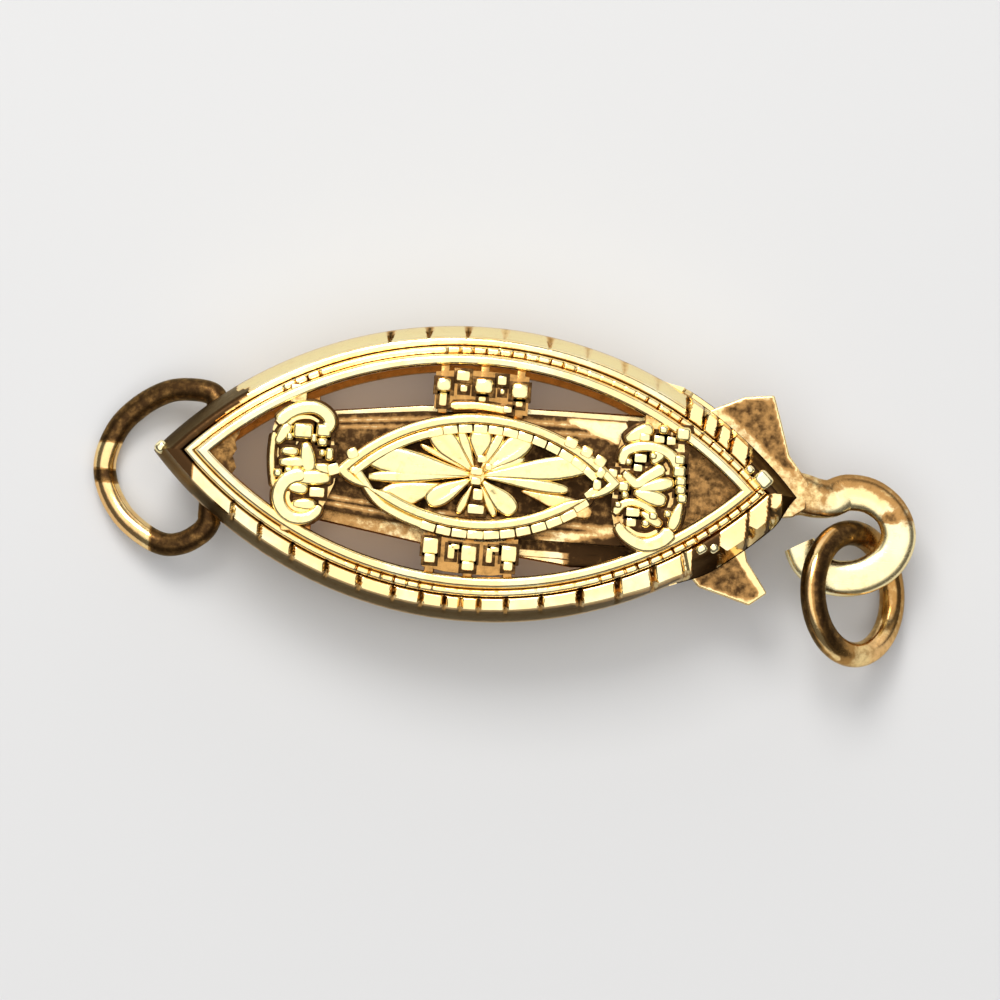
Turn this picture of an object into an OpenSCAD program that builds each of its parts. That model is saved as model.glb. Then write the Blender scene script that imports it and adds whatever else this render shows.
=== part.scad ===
// Marquise filigree fishhook clasp, lying on its back and fastened.
// Millimetres. Origin at the middle of the back face, +X towards the hook's eye, +Z out of the filigree front.

/* [Housing] */
// Length of the housing, tip to tip
housing_l = 14; // [13:0.5:16]
// Width of the housing at the seam
housing_w = 6.4; // [6:0.1:7]
// Height of the seam above the back face
seam_z = 1.6; // [1.5:0.05:1.7]
// Notches along each side of the front border
notches = 17; // [11:1:21]

/* [Filigree] */
// Length of the inner marquise frame
frame_l = 6.2; // [5.8:0.05:6.25]
// Width of the inner marquise frame
frame_w = 2.7; // [2.6:0.05:2.75]
// Radius of the granules
granule_r = 0.19; // [0.15:0.01:0.2]

/* [Hook tongue] */
// Width of the strip's lower leaf inside the housing
strip_w = 3.1; // [2.9:0.1:3.2]
// Width of its folded upper leaf
leaf_w = 2.7; // [2.2:0.1:2.8]
// Thickness of the strip
strip_t = 0.3; // [0.24:0.02:0.34]
// Width of the curled eye's band
eye_w = 0.88; // [0.7:0.02:0.95]
// Thickness of the curled eye's band
eye_t = 0.46; // [0.36:0.02:0.5]

/* [Rings] */
// Wire diameter of the end ring
end_wire = 0.5; // [0.4:0.02:0.52]
// Radius of the two holes that carry the end ring
end_hole_r = 0.29; // [0.28:0.01:0.32]
// Wire diameter of the jump ring
jump_wire = 0.55; // [0.45:0.01:0.56]
// Outer diameter of the jump ring
jump_od = 3.2; // [3.1:0.05:3.3]

/* [Hidden] */
$fn = 48;

// The marquise is where two circles meet: radius and the distance of their centres from the middle
R = (pow(housing_l / 2, 2) + pow(housing_w / 2, 2)) / housing_w;
C = R - housing_w / 2;
Ri = (pow(frame_l / 2, 2) + pow(frame_w / 2, 2)) / frame_w;
Ci = Ri - frame_w / 2;

// Border, measured inwards from the silhouette
crease_d = 0.485;
bead_d0 = 0.63;
bead_d1 = 0.79;
lip_d = 0.93;
wall_t = 0.3;
// Heights above the seam
crease_h = 1.14;
web_h = 1.3;
relief_h = 1.42;
top_h = 1.6;
web_under = 1.06;

// Half height of the slot for the strip, and where the slot starts
slot_h = strip_t / 2 + 0.05;
slot_x = 4.35;

gold = [0.93, 0.79, 0.42];
ring_gold = [0.86, 0.62, 0.33];

// Half the marquise's width at x, for an inward offset d
function half_w(x, d) = sqrt(pow(R - d, 2) - x * x) - C;

// Two circles' overlap, inset by d
module lens(r, c, d) {
    intersection() {
        translate([0, -c]) circle(r - d, $fn = 96);
        translate([0, c]) circle(r - d, $fn = 96);
    }
}

// A band of the marquise between two insets
module lens_band(r, c, d0, d1) {
    difference() {
        lens(r, c, d0);
        lens(r, c, d1);
    }
}

// Half of a pillow with a marquise outline, from [inset, height above seam] pairs
module pillow(profile) {
    top = profile[len(profile) - 1][1];
    pts = concat([[0, profile[0][1]]], [for (p = profile) [R - p[0], p[1]]], [[0, top]]);
    intersection() {
        translate([0, -C, 0]) rotate_extrude($fn = 96) polygon(pts);
        translate([0, C, 0]) rotate_extrude($fn = 96) polygon(pts);
    }
}

OUTER = [[0, 0], [0.03, 0.2], [0.13, 0.52], [0.29, 0.84], [crease_d, crease_h], [lip_d, web_h], [lip_d + 0.6, web_h]];
INNER = [[wall_t, -0.01], [wall_t + 0.05, 0.35], [wall_t + 0.27, 0.72], [lip_d, web_under]];

// A petal: narrow at the hub, w wide at its rounded end, turned by a
module petal(a, start, l, w) {
    rotate(a) {
        translate([start + l - w / 2, 0]) circle(w / 2);
        polygon([[start, -w * 0.18], [start + l - w / 2, 0.02 - w / 2], [start + l - w / 2, w / 2 - 0.02], [start, w * 0.18]]);
    }
}

// Turn, start, length and width of each petal of the rosette
PETALS = [[173.5, 0.12, 2.3, 0.5], [184.5, 0.14, 2.2, 0.27], [10, 0.12, 2.36, 0.48], [-4.5, 0.14, 1.85, 0.28], [139, 0.14, 1.12, 0.44],
    [116, 0.14, 0.95, 0.2], [88, 0.2, 0.8, 0.4], [62, 0.14, 0.98, 0.2], [41, 0.14, 1.14, 0.46], [214, 0.14, 0.98, 0.42], [249, 0.2, 0.9, 0.17],
    [271, 0.2, 0.82, 0.24], [300, 0.2, 0.9, 0.16], [321, 0.14, 0.86, 0.42]];

// The rosette's hub, a little off the middle as stamped
HUB = [0.05, -0.11];
module rosette() {
    translate(HUB) {
        circle(0.26);
        for (p = PETALS) petal(p[0], p[1], p[2], p[3]);
    }
}

// The inner frame lies slightly turned in the housing
module turned() {
    translate([0.08, -0.12, 0]) rotate([0, 0, 1.3]) children();
}

// A C-shaped scroll of wire, centred at p, open towards the angle a
module scroll(p, ro, ri, a) {
    translate(p) rotate(a) difference() {
        circle(ro);
        circle(ri);
        polygon([[0, 0], [2, 0.9], [2, -0.9]]);
    }
}

// Bars of the scroll groups: x, y of a corner, length, width
LEFT_BARS = [[-4.35, 0.03, 0.85, 0.18], [-4.35, -0.26, 1.45, 0.24], [-4.42, -0.75, 0.13, 1.5], [-4.05, 1.02, 0.36, 0.7], [-3.98, -1.8, 0.36, 0.5],
    [-3.54, -0.83, 0.36, 0.24], [-3.95, -0.5, 0.85, 0.2]];
RIGHT_BARS = [[2.95, -0.12, 0.6, 0.22], [3.4, 0.25, 0.26, 0.38], [3.35, -0.95, 0.26, 0.42], [4.36, -0.95, 0.16, 2.0], [3.6, 1.1, 0.36, 0.6],
    [3.62, -1.8, 0.36, 0.55], [3.85, -0.78, 0.6, 0.18]];

module left_scrolls() {
    scroll([-3.6, 0.62], 0.56, 0.36, 245);
    translate([-3.33, 0.6]) circle(0.15);
    translate([-3.73, 0.6]) circle(0.17);
    translate([-3.84, 0.15]) square([0.14, 0.4]);
    translate([-3.42, 0.02]) square([0.16, 0.5]);
    scroll([-3.7, -0.84], 0.59, 0.35, 20);
    for (b = LEFT_BARS) translate([b[0], b[1]]) square([b[2], b[3]]);
}

module right_scrolls() {
    scroll([3.74, 0.42], 0.58, 0.4, 290);
    scroll([3.74, -0.76], 0.58, 0.36, 60);
    for (a = [-22, 12, 42]) translate([3.35, -0.12]) petal(a, 0, 0.92, 0.26);
    for (b = RIGHT_BARS) translate([b[0], b[1]]) square([b[2], b[3]]);
}

// Posts between the inner frame and the rim that carry the granules: x of each above and below
POSTS_UP = [-0.81, 0.05, 0.83];
POSTS_DOWN = [-0.83, 0, 0.86];
module posts() {
    for (x = POSTS_UP) translate([x - 0.1, 1.05]) square([0.2, 1.3]);
    for (x = POSTS_DOWN) translate([x - 0.13, -2.35]) square([0.26, 1.2]);
    for (x = [-0.4, 0.45]) translate([x - 0.09, 1.9]) square([0.18, 0.45]);
    translate([-0.7, 1.2]) square([1.4, 0.22]);
}

// Everything that is left standing in the pierced field
module filigree() {
    turned() lens_band(Ri, Ci, 0, 0.44);
    intersection() {
        rosette();
        turned() lens(Ri, Ci, 0.3);
    }
    left_scrolls();
    right_scrolls();
    posts();
}

// One wedge across the border's outer edge, at the fraction f of one side
module notch(f, s) {
    reach = asin(housing_l / 2 / R) - 3.5;
    a = f * reach;
    translate([0, -s * C, 0]) rotate([0, 0, s * (90 - a)])
        translate([R - 0.14, 0, seam_z + 0.4]) rotate([0, -30, 0])
            linear_extrude(0.8) polygon([[0, 0], [0.5, 0.2], [0.5, -0.2]]);
}

module slot() {
    translate([slot_x, -3, seam_z - slot_h]) cube([4, 6, 2 * slot_h]);
}

module front_shell() {
    color(gold) {
        difference() {
            translate([0, 0, seam_z]) difference() {
                pillow(OUTER);
                pillow(INNER);
                translate([0, 0, 0.6]) linear_extrude(1) difference() {
                    lens(R, C, lip_d);
                    filigree();
                }
            }
            for (s = [-1, 1], i = [0:notches - 1]) notch(2 * i / (notches - 1) - 1, s);
            slot();
        }
        // Raised beaded line of the border, kept as one ridge here
        translate([0, 0, seam_z + web_h - 0.22]) linear_extrude(0.32) lens_band(R, C, bead_d0, bead_d1);
        // Raised wire and beaded line of the inner frame
        turned() {
            translate([0, 0, seam_z + web_h - 0.12]) linear_extrude(relief_h - web_h + 0.12) lens_band(Ri, Ci, 0.02, 0.24);
            translate([0, 0, seam_z + web_h - 0.12]) linear_extrude(0.18) lens_band(Ri, Ci, 0.26, 0.4);
        }
        // Rosette in relief, with square beads down its middle
        translate([HUB[0], HUB[1], seam_z + web_h - 0.1]) linear_extrude(0.17)
            for (p = PETALS) petal(p[0], p[1] + 0.05, min(p[2] - 0.14, p[2] > 2 ? 1.9 : 0.75), p[3] * 0.6);
        for (q = [[0.04, -0.1, 0.26, 0.3, 0.24], [0.1, -0.51, 0.22, 0.25, 0.1], [0.08, -0.83, 0.3, 0.2, 0.1]])
            translate([q[0] - q[2] / 2, q[1] - q[3] / 2, seam_z + web_h - 0.1]) cube([q[2], q[3], q[4] + 0.1]);
        // Granules above, square beads below
        for (x = POSTS_UP) translate([x, 1.78, seam_z + top_h - granule_r - 0.02]) sphere(granule_r);
        for (x = POSTS_DOWN) translate([x - 0.12, -2.1, seam_z + web_h - 0.1]) cube([0.24, 0.2, 0.24]);
        // Scrolls in relief, with beads in their curls
        translate([0, 0, seam_z + web_h - 0.1]) linear_extrude(0.18) {
            scroll([-3.6, 0.62], 0.52, 0.4, 245);
            scroll([-3.7, -0.84], 0.55, 0.39, 20);
            scroll([3.74, 0.42], 0.54, 0.44, 290);
            scroll([3.74, -0.76], 0.54, 0.4, 60);
        }
        for (q = [[-3.33, 0.6], [-3.73, 0.6]]) translate([q[0], q[1], seam_z + web_h]) sphere(0.13);
    }
}

module back_shell() {
    color(gold) difference() {
        union() {
            translate([0, 0, seam_z]) mirror([0, 0, 1]) difference() {
                pillow(OUTER);
                pillow(INNER);
                translate([0, 0, 0.6]) linear_extrude(1) difference() {
                    lens(R, C, lip_d);
                    lens(Ri, Ci, 0);
                    left_scrolls();
                    right_scrolls();
                    posts();
                }
            }
            // Plain middle plate and rim line, which the clasp rests on
            linear_extrude(seam_z - web_h + 0.1) lens(Ri, Ci, 0.15);
            linear_extrude(seam_z - web_h + 0.1) lens_band(R, C, bead_d0, bead_d1);
        }
        slot();
        // Holes of the end ring, through both walls
        translate([pivot[0], 0, pivot[1]]) rotate([90, 0, 0]) cylinder(r = end_hole_r, h = 6, center = true);
    }
}

// Where the hook catches: a round bar from wall to wall
catch_x = 3.72;
catch_z = 2.28;
catch_r = 0.16;
module catch_bar() {
    bar = half_w(catch_x, wall_t + 0.4);
    color(gold) translate([catch_x, 0, catch_z]) rotate([90, 0, 0])
        cylinder(r = catch_r, h = 2 * bar, center = true);
}

// Ring of points around a swept path: axes of an ellipse at one station
function ell(p, w, t, wide, thick, n) =
    [for (i = [0:n - 1]) let (a = 360 * i / n) p + w * (wide * cos(a)) + t * (thick * sin(a))];
function unit(v) = v / norm(v);

// Skin over rings of n points each, closed at both ends
module skin(rings) {
    n = len(rings[0]);
    m = len(rings);
    polyhedron(
        points = [for (r = rings) each r],
        faces = concat(
            [for (k = [0:m - 2], i = [0:n - 1]) [k * n + i, k * n + (i + 1) % n, (k + 1) * n + (i + 1) % n, (k + 1) * n + i]],
            [[for (i = [n - 1:-1:0]) i]],
            [[for (i = [0:n - 1]) (m - 1) * n + i]]),
        convexity = 6);
}

// Smooth curve through points, k steps a span
function spline(p, k) = let (n = len(p)) [
    for (i = [0:n - 2], j = [0:(i == n - 2 ? k : k - 1)])
        let (a = p[max(i - 1, 0)], b = p[i], c = p[i + 1], d = p[min(i + 2, n - 1)], t = j / k)
            0.5 * (2 * b + (c - a) * t + (2 * a - 5 * b + 4 * c - d) * t * t + (3 * b - a - 3 * c + d) * t * t * t)];

// Band swept along a path, lying flat across the sweep
module band(path, wide, share, thick, n) {
    m = len(path);
    skin([for (k = [0:m - 1]) let (
        d = unit(path[min(k + 1, m - 1)] - path[max(k - 1, 0)]),
        w = unit(cross(d, [0, 0, 1])),
        t = cross(w, d)) ell(path[k], w, t, wide * lookup(k / (m - 1), share), thick, n)]);
}

// Neck and curled eye, seen from above: neck, over the top, right side, lower band, free end
eye_z = 1.22;
EYE = [[7.1, 0.1, 1.52], [7.4, 0.04, 1.36], [7.72, 0.06, eye_z + 0.05], [8.1, 0.22, eye_z], [8.62, 0.17, eye_z],
    [9.08, -0.16, eye_z], [9.26, -0.68, eye_z], [9.04, -1.22, eye_z], [8.5, -1.58, eye_z], [7.86, -1.63, eye_z],
    [7.36, -1.36, eye_z], [7.13, -0.98, eye_z]];
// Share of the full width along the band
EYE_WIDTH = [[0, 1.12], [0.1, 1.02], [0.2, 0.96], [0.35, 0.9], [0.5, 0.84], [0.7, 0.9], [0.85, 0.88], [1, 0.8]];

fold_r = 0.1;
upper_z = seam_z + strip_t / 2 + 2 * fold_r;
module hook_tongue() {
    color(gold) {
        // Lower leaf with its shoulders, in the slot
        translate([0, 0, seam_z - strip_t / 2]) linear_extrude(strip_t) polygon([
            [-3.4, -strip_w / 2], [-3.4, strip_w / 2], [4.5, strip_w / 2], [5.2, 1.86], [5.71, 2.1], [6.34, 2.18],
            [6.56, 1.53], [6.76, 0.9], [6.99, 0.64], [7.3, 0.5], [7.3, -0.36], [6.95, -0.42], [6.4, -0.5], [5.9, -1.0],
            [6.01, -1.45], [6.49, -2.11], [6.12, -2.4], [5.0, -2.08], [4.5, -strip_w / 2]]);
        // Fold, upper leaf and upturned hook end behind the catch bar
        translate([-3.4, 0, seam_z + strip_t / 2 + fold_r]) rotate([90, 0, 0]) rotate([0, 0, 90])
            rotate_extrude(angle = 180) translate([fold_r, -leaf_w / 2]) square([strip_t, leaf_w]);
        translate([-3.45, -leaf_w / 2, upper_z]) cube([6.75, leaf_w, strip_t]);
        translate([3.2, -leaf_w / 2, upper_z]) cube([0.3, leaf_w, 0.6]);
        // Neck and eye
        band(spline(EYE, 4), eye_w / 2, EYE_WIDTH, eye_t / 2, 16);
    }
}

// End ring: a straight bar in the two holes and a bowed loop outside
pivot = [-5.7, 1.0];
end_r = end_wire / 2;
end_reach = 2.5;
droop = asin((pivot[1] - end_r) / end_reach);
// Loop in its own plane, from the upper hole round to the lower one: [outwards, sideways]
LOOP = [[0, 1.18], [0.16, 1.36], [0.6, 1.42], [1.15, 1.35], [1.75, 1.02], [2.25, 0.5], [end_reach, -0.2], [2.4, -0.8],
    [2.02, -1.38], [1.5, -1.78], [1.0, -1.98], [0.55, -1.92], [0.16, -1.68], [0, -1.45]];
BAR = [1.2, -1.47];

module tube(path, r, n, up) {
    m = len(path);
    skin([for (k = [0:m - 1]) let (
        d = k == 0 ? [0, 1, 0] : k == m - 1 ? [0, -1, 0] : unit(path[k + 1] - path[k - 1]),
        w = unit(cross(d, up)),
        t = cross(w, d)) ell(path[k], w, t, r, r, n)]);
}

module end_ring() {
    color(ring_gold) translate([pivot[0], 0, pivot[1]]) rotate([0, -droop, 0]) {
        translate([0, BAR[0], 0]) rotate([90, 0, 0]) cylinder(r = end_r, h = BAR[0] - BAR[1]);
        tube([for (q = spline(concat([[0, 1.0]], LOOP, [[0, -1.3]]), 3)) [-q[0], q[1], 0]], end_r - 0.012, 16, [0, 0, 1]);
    }
}

// Jump ring: passes up through the eye and down outside its lower band
jump_tilt = 47;
jump_turn = 6;
jump_r = (jump_od - jump_wire) / 2;
jump_c = [8.36, -1.96, jump_wire / 2 + jump_r * sin(jump_tilt)];

module jump_ring() {
    color(ring_gold) translate(jump_c) rotate([0, jump_tilt, jump_turn])
        rotate_extrude($fn = 72) translate([jump_r, 0]) circle(jump_wire / 2, $fn = 32);
}

front_shell();
back_shell();
catch_bar();
hook_tongue();
end_ring();
jump_ring();
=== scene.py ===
"""Looks of a marquise filigree fishhook clasp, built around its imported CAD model."""

import math

import bmesh
import bpy
from mathutils import Matrix, Vector


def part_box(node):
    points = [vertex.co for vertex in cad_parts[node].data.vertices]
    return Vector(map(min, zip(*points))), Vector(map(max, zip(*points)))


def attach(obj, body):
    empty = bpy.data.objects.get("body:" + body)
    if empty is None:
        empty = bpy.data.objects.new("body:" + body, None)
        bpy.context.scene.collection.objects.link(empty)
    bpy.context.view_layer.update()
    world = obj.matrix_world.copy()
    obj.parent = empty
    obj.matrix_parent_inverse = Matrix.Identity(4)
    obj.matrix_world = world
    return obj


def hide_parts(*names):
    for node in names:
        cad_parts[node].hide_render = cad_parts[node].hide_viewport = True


bl_info = {
    "name": "Filigree Fishhook Clasp",
    "version": (1, 0, 0),
    "blender": (4, 5, 0),
    "location": "View3D > Sidebar > Clasp",
    "description": "Builds a marquise filigree fishhook clasp around its CAD frame",
    "category": "Add Mesh"}

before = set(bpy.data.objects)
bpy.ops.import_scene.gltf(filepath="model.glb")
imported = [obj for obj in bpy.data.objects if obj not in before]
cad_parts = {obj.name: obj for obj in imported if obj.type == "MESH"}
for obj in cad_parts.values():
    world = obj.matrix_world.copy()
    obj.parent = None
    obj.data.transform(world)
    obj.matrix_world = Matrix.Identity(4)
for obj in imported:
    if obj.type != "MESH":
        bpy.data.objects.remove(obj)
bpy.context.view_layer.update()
MM = 0.001
UP = Vector((0, 0, 1))
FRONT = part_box("front_shell")
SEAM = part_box("back_shell")[1].z / MM
TOP = FRONT[1].z / MM
# Where the slot for the tongue begins along the clasp, and half its height
SLOT_START, SLOT_HALF = 4.35, 0.2
# Axis of the end ring and radius of its two holes
PIVOT, HOLE = Vector((-5.7, 0, 1.0)), 0.29


# Sizes and colours

def measure(name, description, default):
    return bpy.props.FloatProperty(name=name, description=description, default=default, unit="LENGTH", precision=5)


def tint(name, description, default):
    return bpy.props.FloatVectorProperty(name=name, description=description, default=default, subtype="COLOR",
                                         min=0, max=1)


class ClaspSizes(bpy.types.PropertyGroup):
    length: measure("Length", "Housing, tip to tip", FRONT[1].x - FRONT[0].x)
    width: measure("Width", "Housing at the seam", 0.0064)
    frame_length: measure("Frame length", "Inner marquise frame, tip to tip", 0.0062)
    frame_width: measure("Frame width", "Inner marquise frame across", 0.00272)
    bead: measure("Bead", "Length of one bead of the beaded lines", 0.0003)
    granule: measure("Granule", "Radius of the granules", 0.00019)
    end_wire: measure("End ring wire", "Wire diameter of the end ring", 0.0005)
    jump_wire: measure("Jump ring wire", "Wire diameter of the jump ring", 0.00055)
    jump_ring: measure("Jump ring", "Outside diameter of the jump ring", 0.0032)
    steps: bpy.props.IntProperty(name="Arc steps", description="Steps along one side of the border",
                                 default=560, min=60, max=900)


class ClaspColours(bpy.types.PropertyGroup):
    gold: tint("Gold", "Polished housing gold", (0.97, 0.73, 0.34))
    # Pale also makes the painted highlights; amber and the darkest colour make painted shade as well as blotchy
    # tarnish
    pale: tint("Pale gold", "Brightest places", (0.985, 0.86, 0.51))
    amber: tint("Amber", "Lightly tarnished gold", (0.51, 0.27, 0.08))
    shade_and_tarnish: tint("Recess", "Darkened gold in the recesses", (0.058, 0.029, 0.011))
    ring: tint("Ring gold", "Redder gold of the wire", (0.86, 0.53, 0.22))
    floor: tint("Floor", "Pale floor", (0.655, 0.66, 0.665))


# Shader nodes

class Val:
    """A socket that adds its Math nodes when it is used in an expression."""

    def __init__(self, kit, socket):
        self.kit, self.socket = kit, socket

    def op(self, kind, other, flip=False):
        a, b = (other, self) if flip else (self, other)
        return self.kit.add("ShaderNodeMath", {"operation": kind}, {0: a, 1: b})

    def __add__(self, o): return self.op("ADD", o)
    def __radd__(self, o): return self.op("ADD", o, True)
    def __sub__(self, o): return self.op("SUBTRACT", o)
    def __rsub__(self, o): return self.op("SUBTRACT", o, True)
    def __mul__(self, o): return self.op("MULTIPLY", o)
    def __rmul__(self, o): return self.op("MULTIPLY", o, True)


class Kit:
    """Adds nodes to one material or world."""

    def __init__(self, tree):
        self.tree = tree

    def add(self, kind, settings=None, inputs=None, out=0):
        """One node: its settings first, then its inputs as values or links."""
        node = self.tree.nodes.new(kind)
        for key, value in (settings or {}).items():
            setattr(node, key, value)
        for key, value in (inputs or {}).items():
            socket = node.inputs[key]
            if isinstance(value, Val):
                self.tree.links.new(value.socket, socket)
            else:
                socket.default_value = value
        return Val(self, node.outputs[out]) if node.outputs else None

    def outs(self, value, index):
        return Val(self, value.socket.node.outputs[index])

    def steps(self, value, low, high):
        """A smooth step from 0 at low to 1 at high."""
        return self.add("ShaderNodeMapRange", {"clamp": True, "interpolation_type": "SMOOTHSTEP"},
                        {"Value": value, "From Min": low, "From Max": high})

    def noise(self, place, scale, detail, rough=0.5):
        return self.add("ShaderNodeTexNoise", {},
                        {"Vector": place, "Scale": scale, "Detail": detail, "Roughness": rough})

    def blend(self, factor, a, b):
        return self.add("ShaderNodeMix", {"data_type": "RGBA"}, {0: factor, 6: a, 7: b}, 2)

    def principled(self, inputs):
        """The shader and the material's output."""
        shader = self.add("ShaderNodeBsdfPrincipled", {}, inputs)
        self.add("ShaderNodeOutputMaterial", {}, {"Surface": shader})


def colour4(c):
    return (c[0], c[1], c[2], 1.0)


def blank(name):
    mat = bpy.data.materials.new(name)
    mat.use_nodes = True
    mat.node_tree.nodes.clear()
    return mat, Kit(mat.node_tree)


# Scales of the patterns, a metre: cast waves, blotches, fine grain, hairlines along and across, the floor's clouds
WAVES, BLOTCHES, GRAIN, HAIRLINES, CLOUDS = 900.0, 5200.0, 16000.0, (3000.0, 26000.0, 26000.0), 60.0
# Colour of the gold's reflections at a glancing angle
GLANCE = (0.97, 0.87, 0.66, 1.0)


def metal(name, base, pale, amber, shade_and_tarnish, rough, grain=1.0, darkening=0.35, mottle=0.5):
    """Polished gold: cast waves, hairline scratches, tarnished blotches, and the mesh's painted shade and highlights.
    """
    mat, kit = blank(name)
    place = kit.add("ShaderNodeTexCoord", out=3)
    painted_light = kit.add("ShaderNodeAttribute", {"attribute_name": "shade_and_tarnish"}, out=2)
    wave = kit.noise(place, WAVES, 3.0, 0.55)
    blotch = kit.noise(place, BLOTCHES, 4.0, 0.65)
    fine = kit.noise(place, GRAIN, 2.0, 0.6)
    along = kit.add("ShaderNodeMapping", {}, {"Vector": place, "Rotation": (0.3, 0.2, 0.5), "Scale": HAIRLINES})
    hair = kit.noise(along, 1.0, 2.0)
    stain = kit.steps(blotch, 0.5, 0.72) * darkening
    # The mesh's mark is painted shade above 0 and a painted highlight below 0; random blotches add tarnish to it
    darkness = painted_light + (blotch - 0.5) * mottle
    warm = kit.steps(darkness, 0.12, 0.5)
    dark = kit.steps(darkness, 0.5, 0.95)
    light = kit.steps(wave, 0.42, 0.66)
    body = kit.blend(light, colour4(base), colour4(pale))
    # Painted highlight where the mark is below 0, blotchy stain, then painted shade and tarnish in amber and the
    # darkest colour
    body = kit.blend(kit.steps(painted_light, 0.0, -1.0), body, colour4([min(1.0, 1.06 * v) for v in pale]))
    body = kit.blend(stain, body, colour4([0.5 * a + 0.5 * b for a, b in zip(base, amber)]))
    body = kit.blend(warm, body, colour4(amber))
    body = kit.blend(dark, body, colour4(shade_and_tarnish))
    roughness = rough + (blotch - 0.4) * 0.18 + kit.steps(hair, 0.58, 0.75) * 0.1 + dark * 0.22
    height = wave * 0.5 + blotch * 0.22 + fine * 0.05 + kit.steps(hair, 0.6, 0.74) * 0.03
    bump = kit.add("ShaderNodeBump", {}, {"Strength": 0.35 * grain, "Distance": 0.00006, "Height": height})
    kit.principled({"Base Color": body, "Metallic": 1.0, "Roughness": roughness, "Specular Tint": GLANCE,
                    "Normal": bump})
    return mat


def floor_material(name, base):
    """A pale matt floor with hardly seen clouds."""
    mat, kit = blank(name)
    cloud = kit.noise(kit.add("ShaderNodeTexCoord", out=3), CLOUDS, 2.0)
    tone = kit.blend(cloud, colour4([c * 0.985 for c in base]), colour4(base))
    kit.principled({"Base Color": tone, "Roughness": 0.9, "Emission Color": tone, "Emission Strength": 0.05})
    return mat


def scaled(colour, *shares):
    return [share * value for share, value in zip(shares, colour)]


MATERIALS = {}


def material(key):
    """The finish of that name; all four are made when the first is asked for."""
    if not MATERIALS:
        c = bpy.context.scene.clasp_colours
        # Painted shade: a darker, more orange gold for the filigree, a browner amber inside the housing
        gold, pale, amber = scaled(c.gold, 0.95, 0.9, 0.79), scaled(c.pale, 0.95, 0.91, 0.73), (0.43, 0.23, 0.075)
        MATERIALS["housing"] = metal("housing_gold", c.gold, c.pale, c.amber, c.shade_and_tarnish, 0.13, 1.0, 0.2)
        MATERIALS["filigree"] = metal("filigree_gold", gold, pale, c.amber, c.shade_and_tarnish, 0.17, 1.2, 0.45, 0.95)
        MATERIALS["inner"] = metal("inner_gold", c.gold, c.pale, amber, c.shade_and_tarnish, 0.22, 0.8, 0.3, 0.95)
        MATERIALS["wire"] = metal("wire_gold", c.ring, c.gold, scaled(c.amber, 0.8, 0.8, 0.8), c.shade_and_tarnish,
                                  0.14, 0.7, 0.4, 0.7)
    return MATERIALS[key]


# Shapes, in millimetres

def marquise(length, width):
    """Radius of a marquise's two arcs and how far their centres lie from its middle."""
    radius = ((length / 2) ** 2 + (width / 2) ** 2) / width
    return radius, radius - width / 2


def marquises():
    """The housing's arcs and the inner frame's."""
    s = bpy.context.scene.clasp_sizes
    return marquise(s.length / MM, s.width / MM), marquise(s.frame_length / MM, s.frame_width / MM)


def lookup(x, table):
    """Value at x of a table of (x, value) pairs, straight between them and level beyond the ends."""
    for (a, u), (b, v) in zip(table, table[1:]):
        if x <= b:
            return u + (v - u) * max(x - a, 0.0) / (b - a)
    return table[-1][1]


def smoothstep(a, b, x):
    """0 at a, 1 at b, smooth between them."""
    t = min(max((x - a) / (b - a), 0.0), 1.0)
    return t * t * (3 - 2 * t)


def window(x, a, b, c, d):
    """1 from b to c, smooth down to 0 at a and d."""
    return smoothstep(a, b, x) * smoothstep(d, c, x)


def spline(points, k):
    """Smooth curve through the points, k steps a span."""
    pts = [Vector(p) for p in points]
    out = []
    for i in range(len(pts) - 1):
        a, b, c, d = pts[max(i - 1, 0)], pts[i], pts[i + 1], pts[min(i + 2, len(pts) - 1)]
        for j in range(k + (i == len(pts) - 2)):
            t = j / k
            bend, twist = 2 * a - 5 * b + 4 * c - d, 3 * b - a - 3 * c + d
            out.append(0.5 * (2 * b + (c - a) * t + bend * t * t + twist * t ** 3))
    return out


def on_arc(line, centre, turn, side, z):
    """Point at a turn of the arc with radius line."""
    return Vector((line * math.sin(turn), side * (line * math.cos(turn) - centre), z))


def plate(bm, outline, low, high):
    """A flat plate of that outline."""
    face = bm.faces.new([bm.verts.new((x, y, low)) for x, y in outline])
    made = bmesh.ops.extrude_face_region(bm, geom=[face])["geom"]
    bmesh.ops.translate(bm, vec=(0, 0, high - low), verts=[g for g in made if isinstance(g, bmesh.types.BMVert)])


def join(bm, other):
    """Moves the other bmesh's geometry into bm."""
    mesh = bpy.data.meshes.new("part")
    other.to_mesh(mesh)
    other.free()
    bm.from_mesh(mesh)
    bpy.data.meshes.remove(mesh)


def mesh_object(name, bm):
    """Moves a bmesh into a new object of the scene."""
    mesh = bpy.data.meshes.new(name)
    bm.to_mesh(mesh)
    bm.free()
    obj = bpy.data.objects.new(name, mesh)
    bpy.context.scene.collection.objects.link(obj)
    return obj


def split(bm, point, normal, **settings):
    """Cuts everything along a plane."""
    bmesh.ops.bisect_plane(bm, geom=bm.verts[:] + bm.edges[:] + bm.faces[:], plane_co=point, plane_no=normal,
                           **settings)


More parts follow.
